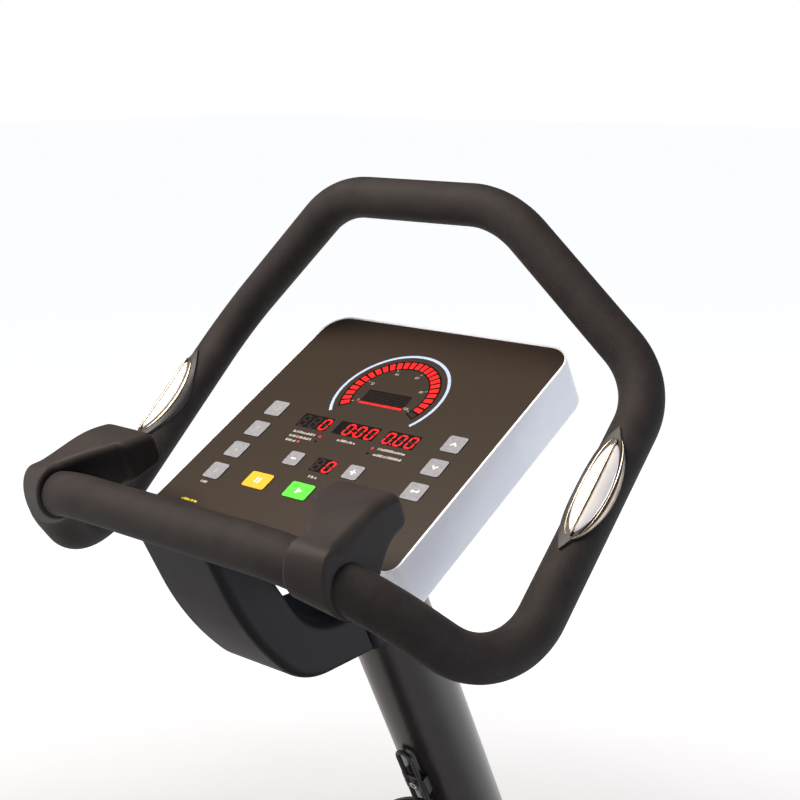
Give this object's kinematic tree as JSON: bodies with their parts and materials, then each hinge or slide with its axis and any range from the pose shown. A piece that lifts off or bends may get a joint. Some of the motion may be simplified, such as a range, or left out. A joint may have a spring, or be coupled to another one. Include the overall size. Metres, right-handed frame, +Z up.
{
  "type": "upright exercise bike",
  "caption": "Upright exercise bike with a closed loop handlebar, forearm rests, tilted console on a leaning mast, belt-driven flywheel and adjustable saddle.",
  "frame": {"origin": "on the floor, under the centre of the bike's bounding box", "axes": "+X to the rider's right, +Y forward, towards the console, +Z up"},
  "size_m": [0.5601, 1.2299, 1.4387],
  "materials": {
    "frame_paint": "satin",
    "gloss_paint": "gloss",
    "crank_paint": "satin",
    "bright_steel": "brushed",
    "chrome_steel": "polished",
    "cast_iron": "machined",
    "black_plastic": "fine grain",
    "shroud_plastic": "fine grain",
    "arm_plastic": "satin gloss",
    "case_silver": "satin gloss",
    "face_dark": "gloss",
    "key_grey": "satin",
    "key_yellow": "satin",
    "key_green": "satin",
    "board_green": "satin",
    "pin_knob": "satin",
    "wheel_rubber": "matte",
    "belt_rubber": "matte",
    "strap_rubber": "matte",
    "rest_rubber": "soft matte",
    "grip_foam": "closed cell foam",
    "saddle_cover": "stitched"
  },
  "bodies": {
    "frame": {"base_frame": "frame_paint", "front_stabiliser": "frame_paint", "rear_stabiliser": "frame_paint", "stabiliser_end_caps": "black_plastic", "front_post": "frame_paint", "mast": "gloss_paint", "seat_tube": "frame_paint", "seat_sleeve": "black_plastic", "bearings": "bright_steel", "drive_belt": "belt_rubber", "flywheel_bracket": "frame_paint", "brake_magnet": "bright_steel", "controller": "black_plastic", "console_cable": "belt_rubber", "shroud_right": "shroud_plastic", "shroud_left": "shroud_plastic", "cover_screws": "bright_steel", "handlebar": "frame_paint", "grip_foam": "grip_foam", "yoke": "arm_plastic", "mast_collar": "arm_plastic", "rest_pad_right": "rest_rubber", "rest_pad_left": "rest_rubber", "sensor_bases": "black_plastic", "pulse_sensors": "chrome_steel", "console_case": "case_silver", "console_overlay": "face_dark", "display_board": "board_green", "bottle_cage": "crank_paint", "frame_bolts": "bright_steel"},
    "crank": {"crank_axle": "bright_steel", "crank_pulley": "black_plastic", "crank_arm_right": "crank_paint", "crank_arm_left": "crank_paint", "pedal_spindles": "bright_steel"},
    "pedal_right": {"pedal_right": "black_plastic", "pedal_strap_right": "strap_rubber"},
    "pedal_left": {"pedal_left": "black_plastic", "pedal_strap_left": "strap_rubber"},
    "flywheel": {"flywheel": "cast_iron"},
    "idler": {"idler_pulley": "black_plastic"},
    "seat": {"seat_post": "chrome_steel", "saddle_clamp": "crank_paint", "saddle_base": "black_plastic", "saddle_cushion": "saddle_cover"},
    "seat_pin": {"seat_pin": "bright_steel", "pull_knob": "pin_knob"},
    "wheel_right": {"transport_wheel_right": "wheel_rubber"},
    "wheel_left": {"transport_wheel_left": "wheel_rubber"},
    "key_left_1": {"key_left_1": "key_grey"},
    "key_left_2": {"key_left_2": "key_grey"},
    "key_left_3": {"key_left_3": "key_grey"},
    "key_left_4": {"key_left_4": "key_grey"},
    "key_up": {"key_up": "key_grey"},
    "key_down": {"key_down": "key_grey"},
    "key_enter": {"key_enter": "key_grey"},
    "key_minus": {"key_minus": "key_grey"},
    "key_plus": {"key_plus": "key_grey"},
    "key_pause": {"key_pause": "key_yellow"},
    "key_start": {"key_start": "key_green"}
  },
  "joints": [
    {"name": "crank_spin", "type": "hinge", "parent": "frame", "child": "crank", "pos_m": [0, -0.24, 0.32], "axis": [-1, 0, 0], "continuous": true},
    {"name": "pedal_right_spin", "type": "hinge", "parent": "crank", "child": "pedal_right", "pos_m": [0.161, -0.10074, 0.22249], "axis": [1, 0, 0], "continuous": true},
    {"name": "pedal_left_spin", "type": "hinge", "parent": "crank", "child": "pedal_left", "pos_m": [-0.161, -0.37926, 0.41751], "axis": [1, 0, 0], "continuous": true},
    {"name": "flywheel_spin", "type": "hinge", "parent": "frame", "child": "flywheel", "pos_m": [0, 0.23, 0.33], "axis": [-1, 0, 0], "continuous": true},
    {"name": "idler_spin", "type": "hinge", "parent": "frame", "child": "idler", "pos_m": [0.052, 0.18387, 0.26956], "axis": [1, 0, 0], "continuous": true},
    {"name": "seat_slide", "type": "slide", "parent": "frame", "child": "seat", "axis": [0, -0.2924, 0.9563], "range_m": [-0.1, 0.1]},
    {"name": "seat_pin_pull", "type": "slide", "parent": "frame", "child": "seat_pin", "axis": [0, 0.9563, 0.2924], "range_m": [0, 0.008], "stiffness_N_per_m": 1500},
    {"name": "wheel_right_spin", "type": "hinge", "parent": "frame", "child": "wheel_right", "pos_m": [0.15, 0.587, 0.035], "axis": [1, 0, 0], "continuous": true},
    {"name": "wheel_left_spin", "type": "hinge", "parent": "frame", "child": "wheel_left", "pos_m": [-0.15, 0.587, 0.035], "axis": [1, 0, 0], "continuous": true},
    {"name": "key_left_1_press", "type": "slide", "parent": "frame", "child": "key_left_1", "axis": [0, 0.4756, -0.8796], "range_m": [0, 0.0006], "stiffness_N_per_m": 1500},
    {"name": "key_left_2_press", "type": "slide", "parent": "frame", "child": "key_left_2", "axis": [0, 0.4756, -0.8796], "range_m": [0, 0.0006], "stiffness_N_per_m": 1500},
    {"name": "key_left_3_press", "type": "slide", "parent": "frame", "child": "key_left_3", "axis": [0, 0.4756, -0.8796], "range_m": [0, 0.0006], "stiffness_N_per_m": 1500},
    {"name": "key_left_4_press", "type": "slide", "parent": "frame", "child": "key_left_4", "axis": [0, 0.4756, -0.8796], "range_m": [0, 0.0006], "stiffness_N_per_m": 1500},
    {"name": "key_up_press", "type": "slide", "parent": "frame", "child": "key_up", "axis": [0, 0.4756, -0.8796], "range_m": [0, 0.0006], "stiffness_N_per_m": 1500},
    {"name": "key_down_press", "type": "slide", "parent": "frame", "child": "key_down", "axis": [0, 0.4756, -0.8796], "range_m": [0, 0.0006], "stiffness_N_per_m": 1500},
    {"name": "key_enter_press", "type": "slide", "parent": "frame", "child": "key_enter", "axis": [0, 0.4756, -0.8796], "range_m": [0, 0.0006], "stiffness_N_per_m": 1500},
    {"name": "key_minus_press", "type": "slide", "parent": "frame", "child": "key_minus", "axis": [0, 0.4756, -0.8796], "range_m": [0, 0.0006], "stiffness_N_per_m": 1500},
    {"name": "key_plus_press", "type": "slide", "parent": "frame", "child": "key_plus", "axis": [0, 0.4756, -0.8796], "range_m": [0, 0.0006], "stiffness_N_per_m": 1500},
    {"name": "key_pause_press", "type": "slide", "parent": "frame", "child": "key_pause", "axis": [0, 0.4756, -0.8796], "range_m": [0, 0.0006], "stiffness_N_per_m": 1500},
    {"name": "key_start_press", "type": "slide", "parent": "frame", "child": "key_start", "axis": [0, 0.4756, -0.8796], "range_m": [0, 0.0006], "stiffness_N_per_m": 1500}
  ],
  "couplings": [
    {"joint": "flywheel_spin", "follows": "crank_spin", "ratio": 6.4054},
    {"joint": "idler_spin", "follows": "crank_spin", "ratio": 5.925}
  ]
}
